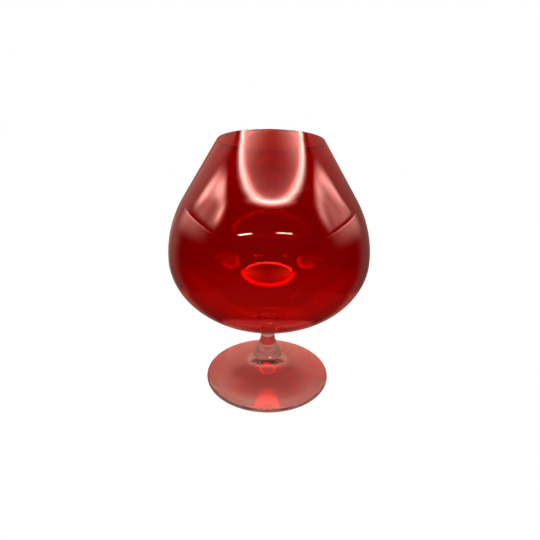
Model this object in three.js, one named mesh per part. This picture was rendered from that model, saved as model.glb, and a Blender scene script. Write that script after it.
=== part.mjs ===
// A brandy snifter: a ruby balloon bowl on a short clear stem and a clear cone foot.
// Millimetres, +Z up. The origin is on the turning axis, on the surface that the foot rests on.
// The three pieces are separate gathers of glass. They meet face to face at two flat fused discs.

import * as THREE from 'three';

// ---- driving dimensions ----
const HEIGHT = 160;              // table to rim
const BELLY_RADIUS = 64.6;       // widest part of the bowl, outside
const BELLY_HEIGHT = 89.2;       // height of the widest part
const UNDERSIDE_DEPTH = 49;      // from the widest part down to the bottom of the bowl, on the axis
const SHOULDER_RADIUS = 69.6;    // arc that turns the wall in above the belly
const RIM_RADIUS = 33.2;         // outside of the mouth
const RIM_WALL = 1.4;            // thickness at the rim, fire-polished round
const BELLY_WALL = 1.6;          // thickness at the widest part
const BOTTOM_WALL = 1.4;         // thickness on the axis, above the stem

const STEM_TOP_RADIUS = 8.5;     // fused disc between bowl and stem
const WAIST_RADIUS = 4.9;        // narrowest part of the stem
const WAIST_HEIGHT = 31.5;
const FLARE_HEIGHT = 26;         // below this the stem flares as a straight cone
const FLARE_TOP_RADIUS = 5.68;
const FLARE_ANGLE = 25;          // degrees from upright
const NECK_POWER = 3;            // how late the neck leaves the waist, so that it meets the flare smoothly
const SWEEP_RADIUS = 16;         // hollow curve that carries the flare into the foot
const DISC_SLOPE = 55;           // degrees from level, the curve's slope at the fused disc

const FOOT_RADIUS = 44.3;
const FOOT_SLOPE = 16.5;         // degrees from level
const FOOT_EDGE = 2.4;           // thickness of the rounded edge
const REST_OUTER = 42.2;         // flat ring that touches the table
const REST_INNER = 37.5;
const DISH_ROUNDING = 6;         // rounds the top of the hollow, a cone with the same slope as the foot
const EDGE_START = -75;          // degrees, where the foot's round edge leaves the resting ring

const ROUND_STEPS = 72;          // facets round the bowl and the foot
const STEM_STEPS = 48;

const rad = (degrees) => degrees * Math.PI / 180;
const point = (r, z) => new THREE.Vector2(r, z);

// ---- shared shapes ----

// Points along an arc in the (r, z) half-plane, from one angle to the other, both included.
function arc(centreR, centreZ, radius, from, to, steps) {
  const points = [];
  for (let i = 0; i <= steps; i += 1) {
    const angle = from + (to - from) * i / steps;
    points.push(point(centreR + radius * Math.cos(angle), centreZ + radius * Math.sin(angle)));
  }
  return points;
}

// A closed body of revolution about Z. The profile starts and ends on the axis, outside first.
function turned(profile, steps) {
  const geometry = new THREE.LatheGeometry(profile, steps);
  geometry.rotateX(Math.PI / 2);
  return geometry;
}

function piece(name, geometry, material) {
  const mesh = new THREE.Mesh(geometry, material);
  mesh.name = name;
  return mesh;
}

// ---- glass ----
const rubyGlass = new THREE.MeshStandardMaterial({ color: 0xa60a12, roughness: 0.04, metalness: 0 });
const clearStemGlass = new THREE.MeshStandardMaterial({ color: 0xe6ddda, roughness: 0.04, metalness: 0 });
const clearFootGlass = new THREE.MeshStandardMaterial({ color: 0xe2d6d2, roughness: 0.05, metalness: 0 });

// ---- bowl ----
// The shoulder arc leaves the belly upright and turns until its tangent line reaches the rim.
// That angle solves: height left * tan(angle) = width left.
function shoulderAngle() {
  let low = 0;
  let high = Math.PI / 2;
  for (let i = 0; i < 60; i += 1) {
    const angle = (low + high) / 2;
    const endR = BELLY_RADIUS - SHOULDER_RADIUS * (1 - Math.cos(angle));
    const endZ = BELLY_HEIGHT + SHOULDER_RADIUS * Math.sin(angle);
    const rimR = endR - (HEIGHT - endZ) * Math.tan(angle);
    if (rimR > RIM_RADIUS) low = angle;
    else high = angle;
  }
  return low;
}

// Height of the bowl's lower outside, an elliptical dish, at a radius.
function undersideHeight(r) {
  return BELLY_HEIGHT - UNDERSIDE_DEPTH * Math.sqrt(1 - (r / BELLY_RADIUS) ** 2);
}

const SHOULDER_ANGLE = shoulderAngle();
const BOWL_BASE = undersideHeight(STEM_TOP_RADIUS);
const FUSED_EDGE = Math.acos(STEM_TOP_RADIUS / BELLY_RADIUS);

// Lower wall from the edge of the fused disc, or from the axis, up to the belly.
function dish(radius, depth, from, steps) {
  const points = [];
  for (let i = 0; i <= steps; i += 1) {
    const angle = from * (1 - i / steps);
    points.push(point(radius * Math.cos(angle), BELLY_HEIGHT - depth * Math.sin(angle)));
  }
  return points;
}

function bowlProfile() {
  const dishSteps = 15;
  const shoulderSteps = 6;
  const rimSteps = 2;
  const centreR = BELLY_RADIUS - SHOULDER_RADIUS;
  const half = RIM_WALL / 2;

  const outsideDish = dish(BELLY_RADIUS, UNDERSIDE_DEPTH, FUSED_EDGE, dishSteps);
  const outsideShoulder = arc(centreR, BELLY_HEIGHT, SHOULDER_RADIUS, 0, SHOULDER_ANGLE, shoulderSteps);
  const rimR = RIM_RADIUS - half;
  const rimZ = HEIGHT - half;
  const rimOutside = arc(rimR, rimZ, half, SHOULDER_ANGLE, Math.PI / 2, rimSteps);
  const rimInside = arc(rimR, rimZ, half, Math.PI / 2, Math.PI + SHOULDER_ANGLE, rimSteps + 1);
  const insideRadius = SHOULDER_RADIUS - BELLY_WALL;
  const insideShoulder = arc(centreR, BELLY_HEIGHT, insideRadius, SHOULDER_ANGLE, 0, shoulderSteps);
  const insideDepth = BELLY_HEIGHT - BOWL_BASE - BOTTOM_WALL;
  const insideDish = dish(BELLY_RADIUS - BELLY_WALL, insideDepth, Math.PI / 2, dishSteps).reverse();
  insideDish[insideDish.length - 1].x = 0; // the last point is exactly on the axis

  return [
    point(0, BOWL_BASE),
    ...outsideDish,
    ...outsideShoulder.slice(1),
    ...rimOutside,
    ...rimInside.slice(1),
    ...insideShoulder,
    ...insideDish.slice(1),
  ];
}

// ---- stem and foot ----
// The straight flare and the foot's slope cross at a corner, which a wide curve sweeps round.
const FOOT_TOP_EDGE = FOOT_EDGE / 2 * (1 + Math.cos(rad(FOOT_SLOPE)));
const FOOT_EDGE_TOP_R = FOOT_RADIUS - FOOT_EDGE / 2 * (1 - Math.sin(rad(FOOT_SLOPE)));

function flareRadius(z) {
  return FLARE_TOP_RADIUS + (FLARE_HEIGHT - z) * Math.tan(rad(FLARE_ANGLE));
}

function footTopHeight(r) {
  return FOOT_TOP_EDGE + (FOOT_EDGE_TOP_R - r) * Math.tan(rad(FOOT_SLOPE));
}

// Where the flare's line meets the foot's line.
function flareCorner() {
  const slope = Math.tan(rad(FOOT_SLOPE));
  const lean = Math.tan(rad(FLARE_ANGLE));
  const reach = FLARE_TOP_RADIUS + FLARE_HEIGHT * lean;
  const z = (FOOT_TOP_EDGE + (FOOT_EDGE_TOP_R - reach) * slope) / (1 - slope * lean);
  return point(flareRadius(z), z);
}

const CORNER = flareCorner();
const TURN = rad(90 - FLARE_ANGLE - FOOT_SLOPE);
const SWEEP_END_R = CORNER.x + SWEEP_RADIUS * Math.tan(TURN / 2) * Math.cos(rad(FOOT_SLOPE));
const SWEEP_CENTRE_R = SWEEP_END_R + SWEEP_RADIUS * Math.sin(rad(FOOT_SLOPE));
const SWEEP_CENTRE_Z = footTopHeight(SWEEP_END_R) + SWEEP_RADIUS * Math.cos(rad(FOOT_SLOPE));
// The fused disc between stem and foot is part of the way up the sweep.
const DISC_RADIUS = SWEEP_CENTRE_R - SWEEP_RADIUS * Math.sin(rad(DISC_SLOPE));
const DISC_HEIGHT = SWEEP_CENTRE_Z - SWEEP_RADIUS * Math.cos(rad(DISC_SLOPE));

// Points along the sweep from one slope to another, in degrees from level.
function sweep(from, to, steps) {
  return arc(SWEEP_CENTRE_R, SWEEP_CENTRE_Z, SWEEP_RADIUS, rad(270 - from), rad(270 - to), steps);
}

function stemProfile() {
  const sweepSteps = 2;
  const neckSteps = 5;
  const neck = [];
  for (let i = 0; i <= neckSteps; i += 1) {
    const share = i / neckSteps;
    const z = FLARE_HEIGHT + (WAIST_HEIGHT - FLARE_HEIGHT) * share;
    const r = WAIST_RADIUS + (FLARE_TOP_RADIUS - WAIST_RADIUS) * (1 - share) ** NECK_POWER;
    neck.push(point(r, z));
  }
  const collar = [];
  for (let i = 1; i <= neckSteps; i += 1) {
    const share = i / neckSteps;
    const z = WAIST_HEIGHT + (BOWL_BASE - WAIST_HEIGHT) * Math.sin(share * Math.PI / 2);
    const r = WAIST_RADIUS + (STEM_TOP_RADIUS - WAIST_RADIUS) * (1 - Math.cos(share * Math.PI / 2));
    collar.push(point(r, z));
  }
  return [
    point(0, DISC_HEIGHT),
    ...sweep(DISC_SLOPE, 90 - FLARE_ANGLE, sweepSteps),
    ...neck,
    ...collar,
    point(0, BOWL_BASE),
  ];
}

function footProfile() {
  const dishSteps = 10;
  const edgeSteps = 6;
  const sweepSteps = 6;
  const half = FOOT_EDGE / 2;
  const underside = [];
  for (let i = 0; i <= dishSteps; i += 1) {
    const r = REST_INNER * i / dishSteps;
    const drop = Math.hypot(REST_INNER, DISH_ROUNDING) - Math.hypot(r, DISH_ROUNDING);
    underside.push(point(r, drop * Math.tan(rad(FOOT_SLOPE))));
  }
  underside[dishSteps].y = 0; // the hollow ends exactly level with the resting ring
  const edge = arc(FOOT_RADIUS - half, half, half, rad(EDGE_START), rad(90 - FOOT_SLOPE), edgeSteps);
  return [
    ...underside,
    point(REST_OUTER, 0),
    ...edge,
    ...sweep(FOOT_SLOPE, DISC_SLOPE, sweepSteps),
    point(0, DISC_HEIGHT),
  ];
}

// ---- assembly ----
const glass = new THREE.Group();
glass.add(piece('bowl', turned(bowlProfile(), ROUND_STEPS), rubyGlass));
glass.add(piece('stem', turned(stemProfile(), STEM_STEPS), clearStemGlass));
glass.add(piece('foot', turned(footProfile(), ROUND_STEPS), clearFootGlass));

export default glass;
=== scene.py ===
# %% [markdown]
# # A ruby brandy snifter
# A brandy snifter is a balloon of ruby glass on a very short clear stem and a clear round foot.
# It is made of three gathers of glass, fused while hot, and all three are bodies of revolution: each one
# is a single outline, turned about the upright axis. So this lesson writes three outlines as arcs and
# ellipses, builds one Geometry Nodes tree that turns any outline into a closed wall, and spends the rest of
# its effort on the glass itself: its colour by depth, its skin, and the studio that it reflects.

# %% Load the fixed model
from math import acos, cos, degrees, exp, hypot, pi, radians, sin, tan

import bpy
from mathutils import Matrix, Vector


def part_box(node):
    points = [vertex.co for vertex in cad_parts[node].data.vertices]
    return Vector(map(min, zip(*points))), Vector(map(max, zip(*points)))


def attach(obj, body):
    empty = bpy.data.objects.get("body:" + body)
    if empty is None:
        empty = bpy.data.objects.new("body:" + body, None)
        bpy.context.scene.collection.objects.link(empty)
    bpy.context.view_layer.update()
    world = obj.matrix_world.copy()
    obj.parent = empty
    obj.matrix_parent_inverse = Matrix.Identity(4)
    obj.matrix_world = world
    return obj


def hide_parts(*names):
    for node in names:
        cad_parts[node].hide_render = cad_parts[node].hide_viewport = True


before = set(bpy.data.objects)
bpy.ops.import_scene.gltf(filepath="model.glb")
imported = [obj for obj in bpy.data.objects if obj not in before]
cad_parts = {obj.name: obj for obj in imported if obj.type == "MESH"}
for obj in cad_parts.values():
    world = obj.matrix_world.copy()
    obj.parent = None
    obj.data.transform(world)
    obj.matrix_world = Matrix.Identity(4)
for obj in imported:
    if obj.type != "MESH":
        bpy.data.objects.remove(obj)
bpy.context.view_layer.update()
MM = 0.001

# %% [markdown]
# ## Sizes
# Every length comes from the fixed model or from a few driving dimensions of the glass. The model gives the
# outer limits, such as the belly's radius and the height of the two fused discs. The rest, such as the
# radius of the shoulder's arc, are the numbers that a glassmaker's drawing would carry.

# %% Read the outer limits from the model
bowl_low, bowl_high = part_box("bowl")
_, stem_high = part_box("stem")
_, foot_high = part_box("foot")

height = bowl_high.z
belly_radius = bowl_high.x
bowl_base = bowl_low.z
disc_height = foot_high.z
disc_radius = stem_high.x
foot_radius = foot_high.x
print("height", round(height, 4), "belly", round(belly_radius, 4), "foot", round(foot_radius, 4))

# %% Driving dimensions of the bowl, the stem and the foot
belly_height = 89.2 * MM
underside_depth = 49 * MM
shoulder_radius = 69.6 * MM
rim_radius = 33.2 * MM
rim_wall = 1.4 * MM
belly_wall = 1.6 * MM
bottom_wall = 1.4 * MM
stem_top_radius = 8.5 * MM

waist_radius = 4.9 * MM
waist_height = 31.5 * MM
flare_height = 26 * MM
flare_top_radius = 5.68 * MM
flare_angle = radians(25)
neck_power = 3
sweep_radius = 16 * MM
disc_slope = radians(55)

foot_slope = radians(16.5)
foot_edge = 2.4 * MM
rest_outer = 42.2 * MM
rest_inner = 37.5 * MM
dish_rounding = 6 * MM
edge_start = radians(-75)

# %% [markdown]
# ## The camera
# The camera comes before the pieces, so that every later choice can be judged through it. It stands close to
# the glass, a little below the rim, and looks down at the foot through a wide lens, which is why the bowl
# looks so large over its foot. It is turned by one degree, as a camera held by hand is.

# %% Place the camera
camera_distance = 1.1678 * height
camera_height = 0.781 * height
camera_side = 0.0047 * height
camera_pitch = 0.2448
camera_roll = 0.0179
lens_mm = 18.61

camera = bpy.data.objects.new("camera", bpy.data.cameras.new("camera"))
camera.data.lens = lens_mm
camera.data.sensor_width = 36
camera.data.clip_start = 0.01
tilt = Matrix.Rotation(pi / 2 - camera_pitch, 4, "X") @ Matrix.Rotation(camera_roll, 4, "Z")
camera.matrix_world = Matrix.Translation((camera_side, -camera_distance, camera_height)) @ tilt
bpy.context.scene.collection.objects.link(camera)
bpy.context.scene.camera = camera
print("camera", [round(c, 3) for c in camera.location], "lens", lens_mm, "mm")

# %% [markdown]
# ## Outlines
# An outline is a list of (radius, height) points in the half-plane beside the axis. It starts on the axis,
# runs up the outside and comes back down the inside, so the turned wall is closed and its faces point out.
# Round stretches are sampled from their own formula. A curve drawn by hand would show as waves in the
# reflections, because glass shows the slope of its surface and not only its place.

# %% Helpers for arcs and ellipses
def arc(centre_r, centre_z, radius, start, end, steps):
    """Points on a circular arc from one angle to the other, both ends included."""
    turns = [start + (end - start) * i / steps for i in range(steps + 1)]
    return [(centre_r + radius * cos(t), centre_z + radius * sin(t)) for t in turns]


def dish(radius, depth, start, steps):
    """Lower half of the bowl, an ellipse, from the given angle up to the belly."""
    turns = [start * (1 - i / steps) for i in range(steps + 1)]
    return [(radius * cos(t), belly_height - depth * sin(t)) for t in turns]


def straight(start, end, steps):
    """Points between two corners, the far one left out."""
    return [tuple(a + (b - a) * i / steps for a, b in zip(start, end)) for i in range(steps)]


# %% The bowl's outline
def shoulder_turn():
    """Angle at which the shoulder's arc ends, so that its tangent runs straight to the rim."""
    low, high = 0.0, pi / 2
    for _ in range(60):
        turn = (low + high) / 2
        end_r = belly_radius - shoulder_radius * (1 - cos(turn))
        end_z = belly_height + shoulder_radius * sin(turn)
        if end_r - (height - end_z) * tan(turn) > rim_radius:
            low = turn
        else:
            high = turn
    return low


shoulder = shoulder_turn()


def bowl_outline():
    dish_steps, shoulder_steps, side_steps = 50, 18, 8
    half = rim_wall / 2
    rim_r, rim_z = rim_radius - half, height - half
    centre_r = belly_radius - shoulder_radius
    outside_dish = dish(belly_radius, underside_depth, acos(stem_top_radius / belly_radius), dish_steps)
    outside_arc = arc(centre_r, belly_height, shoulder_radius, 0, shoulder, shoulder_steps)
    rim = arc(rim_r, rim_z, half, shoulder, pi / 2, 5)
    rim += arc(rim_r, rim_z, half, pi / 2, pi + shoulder, 8)[1:]
    inside_arc = arc(centre_r, belly_height, shoulder_radius - belly_wall, shoulder, 0, shoulder_steps)
    inside_depth = belly_height - bowl_base - bottom_wall
    inside_dish = dish(belly_radius - belly_wall, inside_depth, pi / 2, dish_steps)[::-1]
    base = straight((0, bowl_base), (stem_top_radius, bowl_base), 3)
    points = base + outside_dish + outside_arc[1:-1]
    points += straight(outside_arc[-1], rim[0], side_steps) + rim[:-1]
    points += straight(rim[-1], inside_arc[0], side_steps) + inside_arc + inside_dish[1:]
    points[-1] = (0, points[-1][1])
    return points


print("shoulder turns", round(degrees(shoulder), 1), "degrees;", len(bowl_outline()), "points on the bowl")

# %% [markdown]
# The stem is pulled out of hot glass, so it has a waist, and it spreads again where it was pressed on to the
# foot. Hot glass leaves no corner there: one wide sweep carries the flare out into the slope of the foot.
# Where two pieces are fused they overlap by a hair, so that light passes from one to the other without
# meeting a gap of air.

# %% The stem's outline
weld = 0.03 * MM


def sweep(from_slope, to_slope, steps):
    """Points along the sweep between two slopes from level. The fused disc is part of the way up it."""
    centre_r = disc_radius + sweep_radius * sin(disc_slope)
    centre_z = disc_height + sweep_radius * cos(disc_slope)
    return arc(centre_r, centre_z, sweep_radius, 1.5 * pi - from_slope, 1.5 * pi - to_slope, steps)


def stem_outline():
    neck_steps, collar_steps = 18, 20
    upper_sweep = sweep(disc_slope, pi / 2 - flare_angle, 8)
    neck = []
    for i in range(1, neck_steps + 1):
        share = i / neck_steps
        swell = (flare_top_radius - waist_radius) * (1 - share) ** neck_power
        neck.append((waist_radius + swell, flare_height + (waist_height - flare_height) * share))
    collar = []
    for i in range(1, collar_steps + 1):
        turn = pi / 2 * i / collar_steps
        collar_r = waist_radius + (stem_top_radius - waist_radius) * (1 - cos(turn))
        collar.append((collar_r, waist_height + (bowl_base + weld - waist_height) * sin(turn)))
    flare = straight(upper_sweep[-1], (flare_top_radius, flare_height), 10)
    bottom = straight((0, disc_height), upper_sweep[0], 4)
    top = straight(collar[-1], (0, bowl_base + weld), 3)[1:]
    points = bottom + upper_sweep[:-1] + flare + [(flare_top_radius, flare_height)]
    return points + neck + collar + top + [(0, bowl_base + weld)]


print(len(stem_outline()), "points on the stem")

# %% [markdown]
# The foot is spun out of a soft gather into a shallow cone. The tool leaves faint rings underneath, and
# a flat ring is ground close to the edge for it to stand on. The middle is dished, so that it can't rock.

# %% The foot's outline
ring_pitch = 2.1 * MM
ring_depth = 0.025 * MM
ring_start = 24 * MM


def tool_rings(r):
    """How far the spun underside rises and falls at a radius. It is nothing at the resting ring."""
    if r < ring_start or r > rest_inner:
        return 0.0
    share = (r - ring_start) / (rest_inner - ring_start)
    return ring_depth * sin(pi * share) * (1 + sin(2 * pi * r / ring_pitch)) / 2


def foot_outline():
    dish_steps = 90
    half = foot_edge / 2
    underside = []
    for i in range(dish_steps):
        r = rest_inner * i / dish_steps
        drop = hypot(rest_inner, dish_rounding) - hypot(r, dish_rounding)
        underside.append((r, drop * tan(foot_slope) + tool_rings(r)))
    resting = straight((rest_inner, 0), (rest_outer, 0), 3) + [(rest_outer, 0)]
    edge = arc(foot_radius - half, half, half, edge_start, pi / 2 - foot_slope, 16)
    lower_sweep = sweep(foot_slope, disc_slope, 20)
    slope = straight(edge[-1], lower_sweep[0], 20)
    crown = disc_height + weld
    top = straight((disc_radius, crown), (0, crown), 4) + [(0, crown)]
    return underside + resting + edge[:-1] + slope + lower_sweep + top


print(len(foot_outline()), "points on the foot")

# %% [markdown]
# ## Turning an outline into a wall
# Blender's Screw modifier could turn the outline, but a Geometry Nodes tree does it with its sizes in plain
# sight and can add what a hot gather has and a lathe hasn't: a very slight waver. The tree lays a grid, one
# way along the outline and the other way round the axis, looks up each outline point by its number, and
# swings it round. The seam and the two poles close when doubled points merge. The waver only ever moves
# glass inwards, so the piece keeps the size of the fixed model.

# %% Small helpers that join nodes
def wire(tree, kind, inputs=None, **settings):
    """Adds a node, sets its properties, and fills its inputs with values or with other outputs."""
    node = tree.nodes.new(kind)
    for name, value in settings.items():
        setattr(node, name, value)
    for key, value in (inputs or {}).items():
        if isinstance(value, bpy.types.NodeSocket):
            tree.links.new(value, node.inputs[key])
        else:
            node.inputs[key].default_value = value
    return node


def maths(tree, operation, *values):
    """One Math node on numbers or outputs."""
    return wire(tree, "ShaderNodeMath", dict(enumerate(values)), operation=operation).outputs[0]


# %% Build the turning tree
waver_scale = 22.0
merge_distance = 0.002 * MM
crease_angle = radians(40)


def turning_tree():
    tree = bpy.data.node_groups.new("Turn an outline", "GeometryNodeTree")
    face = tree.interface
    face.new_socket("Outline", in_out="INPUT", socket_type="NodeSocketGeometry")
    face.new_socket("Points along", in_out="INPUT", socket_type="NodeSocketInt")
    face.new_socket("Steps round", in_out="INPUT", socket_type="NodeSocketInt")
    face.new_socket("Waver", in_out="INPUT", socket_type="NodeSocketFloat")
    face.new_socket("Waver seed", in_out="INPUT", socket_type="NodeSocketFloat")
    face.new_socket("Glass", in_out="INPUT", socket_type="NodeSocketMaterial")
    face.new_socket("Wall", in_out="OUTPUT", socket_type="NodeSocketGeometry")
    given = tree.nodes.new("NodeGroupInput").outputs

    round_plus = maths(tree, "ADD", given["Steps round"], 1.0)
    sheet = wire(tree, "GeometryNodeMeshGrid", {
        "Size X": 1.0, "Size Y": 1.0, "Vertices X": given["Points along"], "Vertices Y": round_plus})
    place = wire(tree, "ShaderNodeSeparateXYZ", {0: wire(tree, "GeometryNodeInputPosition").outputs[0]})
    last = maths(tree, "SUBTRACT", given["Points along"], 1.0)
    along = maths(tree, "MULTIPLY", maths(tree, "ADD", place.outputs["X"], 0.5), last)
    number = wire(tree, "FunctionNodeFloatToInt", {0: along}, rounding_mode="ROUND").outputs[0]
    angle = maths(tree, "MULTIPLY", maths(tree, "ADD", place.outputs["Y"], 0.5), 2 * pi)

    lookup = wire(tree, "GeometryNodeSampleIndex", data_type="FLOAT_VECTOR", domain="POINT")
    tree.links.new(given["Outline"], lookup.inputs["Geometry"])
    tree.links.new(wire(tree, "GeometryNodeInputPosition").outputs[0], lookup.inputs["Value"])
    tree.links.new(number, lookup.inputs["Index"])
    outline = wire(tree, "ShaderNodeSeparateXYZ", {0: lookup.outputs["Value"]})
    radius, level = outline.outputs["X"], outline.outputs["Z"]
    across, deep = maths(tree, "COSINE", angle), maths(tree, "SINE", angle)

    def swung(r):
        spot = {"X": maths(tree, "MULTIPLY", r, across), "Y": maths(tree, "MULTIPLY", r, deep), "Z": level}
        return wire(tree, "ShaderNodeCombineXYZ", spot).outputs[0]

    noise = wire(tree, "ShaderNodeTexNoise", {
        "Vector": swung(radius), "W": given["Waver seed"], "Scale": waver_scale, "Detail": 1.0},
        noise_dimensions="4D")
    inwards = maths(tree, "MULTIPLY", noise.outputs[0], given["Waver"])
    wavered = maths(tree, "MULTIPLY", radius, maths(tree, "SUBTRACT", 1.0, inwards))
    turned = wire(tree, "GeometryNodeSetPosition", {
        "Geometry": sheet.outputs["Mesh"], "Position": swung(wavered)})
    closed = wire(tree, "GeometryNodeMergeByDistance", {
        "Geometry": turned.outputs[0], "Distance": merge_distance})

    crease = wire(tree, "GeometryNodeInputMeshEdgeAngle").outputs["Unsigned Angle"]
    is_crease = wire(tree, "FunctionNodeCompare", {0: crease, 1: crease_angle}, operation="GREATER_THAN")
    smooth = wire(tree, "GeometryNodeSetShadeSmooth", {"Geometry": closed.outputs[0]})
    sharp = wire(tree, "GeometryNodeStoreNamedAttribute", {
        "Geometry": smooth.outputs[0], "Name": "sharp_edge", "Value": is_crease.outputs[0]},
        data_type="BOOLEAN", domain="EDGE")
    real = wire(tree, "GeometryNodeRealizeInstances", {"Geometry": sharp.outputs[0]})
    glass = wire(tree, "GeometryNodeSetMaterial", {"Geometry": real.outputs[0], "Material": given["Glass"]})
    end = tree.nodes.new("NodeGroupOutput")
    tree.links.new(glass.outputs[0], end.inputs[0])
    return tree


turn_tree = turning_tree()
print("tree", turn_tree.name, "has", len(turn_tree.nodes), "nodes")

# %% [markdown]
# A function now runs the tree on one outline and keeps only the finished mesh. It also works out the volume
# of the glass, which is positive when the faces point outwards and is a good check on the whole piece.

# %% Turn one outline and keep the plain mesh
def signed_volume(mesh):
    """Volume in cubic metres: positive when the faces point outwards."""
    mesh.calc_loop_triangles()
    spots = [v.co for v in mesh.vertices]
    return sum(spots[a].dot(spots[b].cross(spots[c])) for a, b, c in
               (t.vertices for t in mesh.loop_triangles)) / 6


def turn(name, outline, steps, waver, seed, material):
    """Runs the tree on an outline and returns an object that holds only the finished mesh."""
    source = bpy.data.meshes.new(name + "_outline")
    source.from_pydata([(r, 0, z) for r, z in outline], [(i, i + 1) for i in range(len(outline) - 1)], [])
    maker = bpy.data.objects.new(name + "_maker", source)
    bpy.context.scene.collection.objects.link(maker)
    modifier = maker.modifiers.new("turn", "NODES")
    modifier.node_group = turn_tree
    sizes = {"Points along": len(outline), "Steps round": steps, "Waver": waver,
             "Waver seed": seed, "Glass": material}
    for item in turn_tree.interface.items_tree:
        if item.in_out == "INPUT" and item.name in sizes:
            modifier[item.identifier] = sizes[item.name]
    graph = bpy.context.evaluated_depsgraph_get()
    mesh = bpy.data.meshes.new_from_object(maker.evaluated_get(graph))
    maker.modifiers.remove(modifier)
    bpy.data.objects.remove(maker)
    volume = signed_volume(mesh)
    if volume < 0:
        mesh.flip_normals()
    mesh.name = name
    piece = bpy.data.objects.new(name, mesh)
    bpy.context.scene.collection.objects.link(piece)
    print(name, len(mesh.vertices), "points,", round(abs(volume) * 1e6, 1), "cm3 of glass")
    return piece


# %% [markdown]
# ## Ruby glass
# Ruby glass is coloured right through, so its colour belongs to the depth of glass that light crosses and
# not to its skin. A tinted surface would look the same through one wall and through two. Volume Absorption
# gives the real thing: red passes, while green and blue fade out within about two millimetres, so one wall is
# bright red and two together are deep red. The skin is fire-polished. It has a very slight swell from
# blowing, and its gloss varies faintly where it has been handled.

# %% Make a glass from its absorption and its skin
handling_scale = 38.0
swell_scale = 60.0
drawn_out = (1, 1, 0.35)


def glass_material(name, tint, strength, swell, roughest, rings=0.0):
    """Clear or coloured glass. Light loses strength * (1 - tint) of itself per metre, in each colour."""
    material = bpy.data.materials.new(name)
    material.use_nodes = True
    tree = material.node_tree
    tree.nodes.clear()
    end = tree.nodes.new("ShaderNodeOutputMaterial")
    skin = wire(tree, "ShaderNodeBsdfPrincipled", {
        "Base Color": (1, 1, 1, 1), "Metallic": 0.0, "IOR": 1.52, "Transmission Weight": 1.0})
    depth = wire(tree, "ShaderNodeVolumeAbsorption", {"Color": (*tint, 1), "Density": strength})

    place = tree.nodes.new("ShaderNodeTexCoord").outputs["Object"]
    handled = wire(tree, "ShaderNodeTexNoise", {"Vector": place, "Scale": handling_scale, "Detail": 3.0})
    gloss = wire(tree, "ShaderNodeMapRange", {
        "Value": handled.outputs[0], "From Min": 0.35, "From Max": 0.7, "To Min": 0.0, "To Max": roughest})
    tree.links.new(gloss.outputs[0], skin.inputs["Roughness"])

    drawn = wire(tree, "ShaderNodeMapping", {"Vector": place, "Scale": drawn_out})
    blown = wire(tree, "ShaderNodeTexNoise", {
        "Vector": drawn.outputs[0], "Scale": swell_scale, "Detail": 1.0})
    relief = blown.outputs[0]
    if rings > 0:
        x, y, _ = wire(tree, "ShaderNodeSeparateXYZ", {0: place}).outputs
        out = maths(tree, "SQRT", maths(tree, "ADD", maths(tree, "MULTIPLY", x, x),
                                        maths(tree, "MULTIPLY", y, y)))
        wave = maths(tree, "SINE", maths(tree, "MULTIPLY", out, 2 * pi / ring_pitch))
        relief = maths(tree, "ADD", relief, maths(tree, "MULTIPLY", wave, rings))
    bump = wire(tree, "ShaderNodeBump", {"Height": relief, "Distance": swell, "Strength": 1.0})
    tree.links.new(bump.outputs[0], skin.inputs["Normal"])
    tree.links.new(skin.outputs[0], end.inputs["Surface"])
    tree.links.new(depth.outputs[0], end.inputs["Volume"])
    return material


# %% [markdown]
# The ruby loses almost no red and a great deal of green and blue. The clear glass is only faintly green, as
# ordinary glass is, and the spun foot also shows a trace of its tool rings in its skin.

# %% Mix the three glasses
ruby_loss = (40.0, 1944.0, 2513.0)
ruby_strength = 2600.0
ruby_tint = tuple(1 - loss / ruby_strength for loss in ruby_loss)
clear_strength = 8.0
clear_tint = (0.55, 0.75, 0.7)

ruby_glass = glass_material("ruby_glass", ruby_tint, ruby_strength, 0.008 * MM, 0.006)
clear_stem_glass = glass_material("clear_stem_glass", clear_tint, clear_strength, 0.02 * MM, 0.015)
clear_foot_glass = glass_material("clear_foot_glass", clear_tint, clear_strength, 0.02 * MM, 0.02, rings=0.15)
print("share of light the ruby lets through 1.5 mm:",
      [round(exp(-loss * 1.5 * MM), 3) for loss in ruby_loss], "of red, green and blue")

# %% [markdown]
# The bowl and the foot waver by well under a tenth of a millimetre, and the small stem not at all.

# %% Turn the three pieces
round_steps = 256
stem_steps = 128
bowl = turn("ruby_bowl", bowl_outline(), round_steps, 0.0006, 3.0, ruby_glass)
stem = turn("clear_stem", stem_outline(), stem_steps, 0.0, 5.0, clear_stem_glass)
foot = turn("clear_foot", foot_outline(), round_steps, 0.0004, 7.0, clear_foot_glass)
for piece, node, slot in ((bowl, "bowl", "ruby_glass"), (stem, "stem", "clear_stem_glass"),
                          (foot, "foot", "clear_foot_glass")):
    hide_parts(node)
    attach(piece, "root")
    print(piece.name, "replaces", node)

# %% [markdown]
# ## The studio
# Glass has almost no look of its own: it shows what stands round it. This glass stands in a small light box:
# a round lamp close overhead, a cloth wall on each side, a slim lamp in front and darkness round it, so that
# the glass keeps its dark body between clean highlights. The box has to be small and near. The lamp then
# stands straight above the bowl, so nearly all the light that falls on the foot has come through ruby glass.

# %% Helpers that do sums on node outputs
def tree_of(*values):
    """The node tree that the outputs among these values belong to."""
    return next(v.id_data for v in values if isinstance(v, bpy.types.NodeSocket))


def plus(*values):
    result = values[0]
    for value in values[1:]:
        result = maths(tree_of(result, value), "ADD", result, value)
    return result


def times(*values):
    result = values[0]
    for value in values[1:]:
        result = maths(tree_of(result, value), "MULTIPLY", result, value)
    return result


def minus(first, second):
    return maths(tree_of(first, second), "SUBTRACT", first, second)


def size_of(value):
    return maths(value.id_data, "ABSOLUTE", value)


def length_of(first, second):
    """Length of the slanting side between two upright ones."""
    return maths(first.id_data, "SQRT", plus(times(first, first), times(second, second)))


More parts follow.
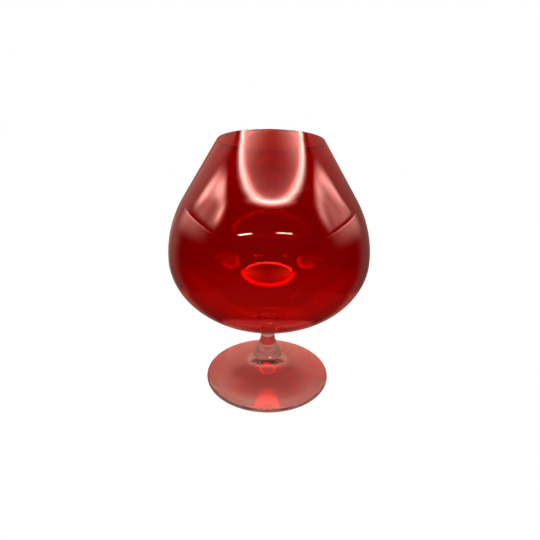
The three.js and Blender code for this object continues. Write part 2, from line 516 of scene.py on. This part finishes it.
def fade(value, start, end, low=0.0, high=1.0):
    """Goes smoothly from low to high as a value passes from start to end."""
    return wire(value.id_data, "ShaderNodeMapRange", {
        "Value": value, "From Min": start, "From Max": end, "To Min": low, "To Max": high},
        interpolation_type="SMOOTHSTEP").outputs[0]


def ridge(distance, width):
    """A soft band, bright where the distance is nothing."""
    share = times(distance, 1 / width)
    return maths(distance.id_data, "EXPONENT", times(share, share, -1.0))


# %% [markdown]
# The lamps are warm, so every highlight has more red in it than green, and a little less blue still. A panel
# is one flat face with its glow painted on it. It can't be seen directly, and its back is dark.

# %% A helper that makes a glowing panel
warm = (1.0, 0.74, 0.63, 1.0)
warm_gain = 1.35


def glowing_panel(name, corners, glow):
    """The glow is a function of the three coordinates on the panel, in metres."""
    mesh = bpy.data.meshes.new(name)
    mesh.from_pydata(corners, [], [tuple(range(len(corners)))])
    panel = bpy.data.objects.new(name, mesh)
    bpy.context.scene.collection.objects.link(panel)
    material = bpy.data.materials.new(name + "_light")
    material.use_nodes = True
    tree = material.node_tree
    tree.nodes.clear()
    place = wire(tree, "ShaderNodeSeparateXYZ", {0: tree.nodes.new("ShaderNodeTexCoord").outputs["Object"]})
    strength = times(glow(*place.outputs), warm_gain)
    light = wire(tree, "ShaderNodeEmission", {"Color": warm, "Strength": strength})
    nothing = tree.nodes.new("ShaderNodeBsdfTransparent")
    unseen = maths(tree, "MAXIMUM", tree.nodes.new("ShaderNodeLightPath").outputs["Is Camera Ray"],
                   tree.nodes.new("ShaderNodeNewGeometry").outputs["Backfacing"])
    mixed = wire(tree, "ShaderNodeMixShader", {0: unseen, 1: light.outputs[0], 2: nothing.outputs[0]})
    wire(tree, "ShaderNodeOutputMaterial", {"Surface": mixed.outputs[0]})
    mesh.materials.append(material)
    print(name, "has", len(tree.nodes), "nodes")


# %% [markdown]
# The round lamp is a glowing tube behind a diffuser, 300 mm above the table. Its light is sharp at its outer
# edge, and inside the ring it spreads on the diffuser, more at the back than in front. The ring is pressed
# in a little towards its four corners, which turns the circle into something slightly square.

# %% The round lamp overhead
lamp_height = 0.30
lamp_middle = (0.004, -0.048)
lamp_ring = 0.110
lamp_reach = 0.145
lamp_sides = 64
squareness = 0.005
tube_power, tube_width = 12.0, 0.0085
front_power, front_width, front_shift = 8.0, 0.015, 0.003
halo_power, halo_reach = 3.2, 0.018
inside_power, inside_least = 3.0, 0.15


def lamp_glow(x, y, z):
    across, deep = minus(x, lamp_middle[0]), minus(y, lamp_middle[1])
    out = length_of(across, deep)
    corner = times(across, deep, 2.0, maths(x.id_data, "POWER", out, -2.0))
    from_ring = minus(out, minus(lamp_ring, times(corner, corner, squareness)))
    tube = times(ridge(from_ring, tube_width), tube_power)
    soft_front = times(ridge(minus(from_ring, front_shift), front_width), fade(y, -0.125, -0.15), front_power)
    falling = maths(x.id_data, "EXPONENT", times(from_ring, 1 / halo_reach))
    halo = times(falling, fade(from_ring, 0.004, 0.0), halo_power)
    spread = times(fade(size_of(across), 0.0, 0.08, 0.15, 1.0), fade(y, -0.10, -0.03), inside_power)
    inside = times(plus(spread, inside_least), fade(from_ring, 0.0, -0.008))
    return plus(tube, soft_front, halo, inside)


lamp_turns = [2 * pi * i / lamp_sides for i in range(lamp_sides)]
lamp_corners = [(lamp_middle[0] + lamp_reach * cos(t), lamp_middle[1] - lamp_reach * sin(t), lamp_height)
                for t in lamp_turns]
glowing_panel("round_lamp", lamp_corners, lamp_glow)

# %% [markdown]
# Each cloth wall hangs 150 mm from the axis. An arched patch of painted glow stands for the lamp's light on
# it, and ends in front and behind where the cloth does; the cloth's soft folds are painted as lighter and
# darker glow.
# The cloth has a hem, which makes a thin dark line, and a last soft glow shows under the hem. Farther back
# the walls are plain and dim.

# %% The cloth walls at the sides
wall_distance = 0.15
wall_top = 0.36
wall_front = -0.25
wall_back = 0.16
arch_foot = 0.20
arch_reach = 0.05
arch_width = 0.3
hem_width = 0.002
cloth_front = (-0.155, -0.105)
cloth_back = (0.026, 0.008)
cloth_top = (0.30, 0.282)


def painted_fold_light(x, y, z):
    """Painted light and shade of soft upright folds: the glow changes quickly along the wall and slowly up
    it.
    """
    stretched = wire(x.id_data, "ShaderNodeCombineXYZ", {
        "X": times(y, 34.0), "Y": times(z, 5.0), "Z": times(x, 20.0)})
    noise = wire(x.id_data, "ShaderNodeTexNoise", {
        "Vector": stretched.outputs[0], "Scale": 1.0, "Detail": 2.0})
    return fade(noise.outputs[0], 0.3, 0.7, 0.65, 1.3)


def wall_glow(arch_power, arch_middle, arch_rise, even_power, hem, gap, back_power, far_power):
    """Light on one wall: its arch, the cloth under the arch, the hem, the gap above it and the far end."""
    def glow(x, y, z):
        across = times(minus(y, arch_middle), 1 / arch_reach)
        rise = times(maths(x.id_data, "MAXIMUM", minus(z, arch_foot), 0.0), 1 / arch_rise)
        from_arch = minus(length_of(across, rise), 1.0)
        arch = times(ridge(from_arch, arch_width), fade(z, hem + 0.01, arch_foot + 0.02), arch_power)
        inside = times(fade(from_arch, 0.35, -0.1), even_power)
        cloth = times(fade(y, *cloth_front), fade(y, *cloth_back), fade(z, *cloth_top),
                      fade(z, hem + hem_width, hem + hem_width + gap))
        # Painted glow: the arch and the even cloth, made lighter and darker by painted folds.
        lit = times(plus(arch, inside), cloth, painted_fold_light(x, y, z))
        below = minus(hem, z)
        line = times(fade(below, 0.0, hem_width), fade(below, 0.006, 0.003), fade(y, -0.13, -0.05), 1.1)
        under = times(fade(below, 0.0, 0.003), fade(below, 0.045, 0.003), fade(y, -0.11, -0.03), 1.3)
        back = times(fade(y, -0.02, 0.03), fade(z, 0.0, 0.26, 0.10, back_power))
        far = times(fade(y, 0.06, 0.12), fade(z, 0.15, 0.10), far_power)
        return plus(lit, times(plus(line, under), fade(y, 0.05, 0.0)), back, far)
    return glow


def wall_corners(x):
    """Corners in the order that turns the lit face to the glass."""
    corners = [(x, wall_front, 0.0), (x, wall_back, 0.0), (x, wall_back, wall_top), (x, wall_front, wall_top)]
    return corners if x < 0 else corners[::-1]


left_glow = wall_glow(arch_power=5.2, arch_middle=-0.055, arch_rise=0.064, even_power=1.1,
                      hem=0.160, gap=0.020, back_power=0.40, far_power=0.12)
right_glow = wall_glow(arch_power=2.7, arch_middle=-0.040, arch_rise=0.068, even_power=1.4,
                       hem=0.155, gap=0.010, back_power=0.22, far_power=0.03)
glowing_panel("left_wall", wall_corners(-wall_distance), left_glow)
glowing_panel("right_wall", wall_corners(wall_distance), right_glow)

# %% [markdown]
# The rest is far enough away to be painted on the sky by direction, in degrees. A slim lamp stands in front,
# and its middle is hidden, so the glass shows two short dashes. Behind hangs a dim red-brown cloth, which is
# what the ruby glass is seen against. Seen directly, the sky is plain white.

# %% Directions on the sky
world = bpy.data.worlds.new("studio")
bpy.context.scene.world = world
world.use_nodes = True
sky = world.node_tree
sky.nodes.clear()
heading = wire(sky, "ShaderNodeSeparateXYZ", {0: sky.nodes.new("ShaderNodeTexCoord").outputs["Generated"]})
in_degrees = 180 / pi
level = times(maths(sky, "ARCSINE", heading.outputs["Z"]), in_degrees)
from_front = maths(sky, "ARCTAN2", heading.outputs["X"], times(heading.outputs["Y"], -1.0))
bearing = times(from_front, in_degrees)
print("the sky is painted by level and bearing")

# %% The slim lamp in front
slim_power = 50.0
slim_bearing = 3.0
slim_height = radians(29.8)
dashes = ((-34.5, -19.7), (8.0, 25.5))


def dash(start, end):
    """Nothing outside the two bearings and one between them, with half a degree of blur each way."""
    return times(fade(bearing, start - 0.5, start + 0.5), fade(bearing, end + 0.5, end - 0.5))


off_middle = times(minus(bearing, slim_bearing), pi / 180)
slim_rise = maths(sky, "ARCTANGENT", times(maths(sky, "COSINE", off_middle), tan(slim_height)))
from_slim = size_of(minus(level, times(slim_rise, in_degrees)))
shown = plus(dash(*dashes[0]), dash(*dashes[1]))
slim_lamp = times(fade(from_slim, 0.45, 0.25), shown, slim_power)

# %% The cloth behind, and the whole sky
cloth_colour = (1.0, 0.35, 0.27, 1.0)
sky_rest = 0.01
behind = times(fade(size_of(bearing), 125.0, 145.0), fade(level, 44.0, 30.0),
               fade(level, -2.0, 30.0, 0.17, 0.42))
lamp_light = wire(sky, "ShaderNodeBackground", {
    "Color": warm, "Strength": times(plus(slim_lamp, sky_rest), warm_gain)})
cloth_light = wire(sky, "ShaderNodeBackground", {"Color": cloth_colour, "Strength": times(behind, warm_gain)})
studio = wire(sky, "ShaderNodeAddShader", {0: lamp_light.outputs[0], 1: cloth_light.outputs[0]})
plain = wire(sky, "ShaderNodeBackground", {"Color": (1, 1, 1, 1), "Strength": 1.0})
direct = sky.nodes.new("ShaderNodeLightPath").outputs["Is Camera Ray"]
mixed = wire(sky, "ShaderNodeMixShader", {0: direct, 1: studio.outputs[0], 2: plain.outputs[0]})
wire(sky, "ShaderNodeOutputWorld", {"Surface": mixed.outputs[0]})
world.cycles.sampling_method = "MANUAL"
world.cycles.sample_map_resolution = 2048
print("sky has", len(sky.nodes), "nodes")

# %% [markdown]
# ## The table
# The glass stands on a plain pale table. Its colour is painted light: a pale pool of painted light under the
# foot, so the red light that comes through the bowl has something to fall on, and near-black painted shade in
# front and at the sides, where the light falls off. Behind the glass the table glows red-brown, a painted
# light that stands in for cloth lit from below. Seen directly, the table is plain and white.

# %% Build the table
table_radius = 6.0
table_level = -0.2 * MM
table_steps = 96
rim_turns = [2 * pi * i / table_steps for i in range(table_steps)]
table_points = [(0, 0, table_level)]
table_points += [(table_radius * cos(t), table_radius * sin(t), table_level) for t in rim_turns]
table_faces = [(0, i + 1, (i + 1) % table_steps + 1) for i in range(table_steps)]
table_mesh = bpy.data.meshes.new("table")
table_mesh.from_pydata(table_points, [], table_faces)
table = bpy.data.objects.new("table", table_mesh)
bpy.context.scene.collection.objects.link(table)
print("table has", len(table_faces), "faces")

# %% [markdown]
# The paint reads the distance from the axis for the round pool of painted light, which is painted darker
# close under the foot's dish as shade, and the distance behind the glass for the painted glow. The share that
# is seen directly leaves a little of the real table in the picture, so the foot still stands in a faint shade
# of its own.

# %% Paint the table
# Painted light and shade on the table: a pale pool under the foot, near-black shade round it, and a glow
# behind.
pool_light_white = 0.49
painted_shade_white = 0.06
behind_power = 0.33
plain_white = 1.14
plain_share = 0.88

table_paint = bpy.data.materials.new("table_paint")
table_paint.use_nodes = True
tops = table_paint.node_tree
tops.nodes.clear()
place = tops.nodes.new("ShaderNodeTexCoord").outputs["Object"]
x, y, _ = wire(tops, "ShaderNodeSeparateXYZ", {0: place}).outputs
grain = wire(tops, "ShaderNodeTexNoise", {"Vector": place, "Scale": 300.0, "Detail": 4.0}).outputs[0]
from_axis = length_of(x, y)
# Painted pool of light under the foot, painted darker close under the dish as shade; outside it, painted
# shade.
painted_pool = times(fade(from_axis, 0.020, 0.042, 0.8, 1.1), pool_light_white)
in_painted_pool = fade(from_axis, 0.055, 0.045)
white = plus(times(painted_pool, in_painted_pool, fade(grain, 0.2, 0.8, 0.95, 1.0)), painted_shade_white)
matt = wire(tops, "ShaderNodeBsdfDiffuse", {"Color": white})
# Painted light: behind the glass the table itself glows red-brown, in place of cloth lit from below.
glow_behind = times(fade(y, 0.0, 0.04, 0.0, behind_power), fade(y, 0.12, 0.4, 1.0, 0.7))
painted_glow_behind = wire(tops, "ShaderNodeEmission", {"Color": cloth_colour, "Strength": glow_behind})
real = wire(tops, "ShaderNodeAddShader", {0: matt.outputs[0], 1: painted_glow_behind.outputs[0]})
bright = wire(tops, "ShaderNodeEmission", {"Color": (1, 1, 1, 1), "Strength": plain_white})
seen = times(tops.nodes.new("ShaderNodeLightPath").outputs["Is Camera Ray"], plain_share)
paint = wire(tops, "ShaderNodeMixShader", {0: seen, 1: real.outputs[0], 2: bright.outputs[0]})
wire(tops, "ShaderNodeOutputMaterial", {"Surface": paint.outputs[0]})
table_mesh.materials.append(table_paint)
print("table paint has", len(tops.nodes), "nodes")

# %% [markdown]
# ## Picture settings
# Light crosses many surfaces in this glass, so it needs many bounces. The filter that blurs gloss after a
# matt bounce is off, because with it hardly any light gets through the bowl to the painted pool under the
# foot.

# %% Set the bounces
scene = bpy.context.scene
scene.view_settings.view_transform = "Standard"
scene.cycles.max_bounces = 24
scene.cycles.transmission_bounces = 24
scene.cycles.glossy_bounces = 12
scene.cycles.diffuse_bounces = 4
scene.cycles.transparent_max_bounces = 8
scene.cycles.sample_clamp_indirect = 12.0
scene.cycles.blur_glossy = 0.0
print("light may bounce", scene.cycles.max_bounces, "times")
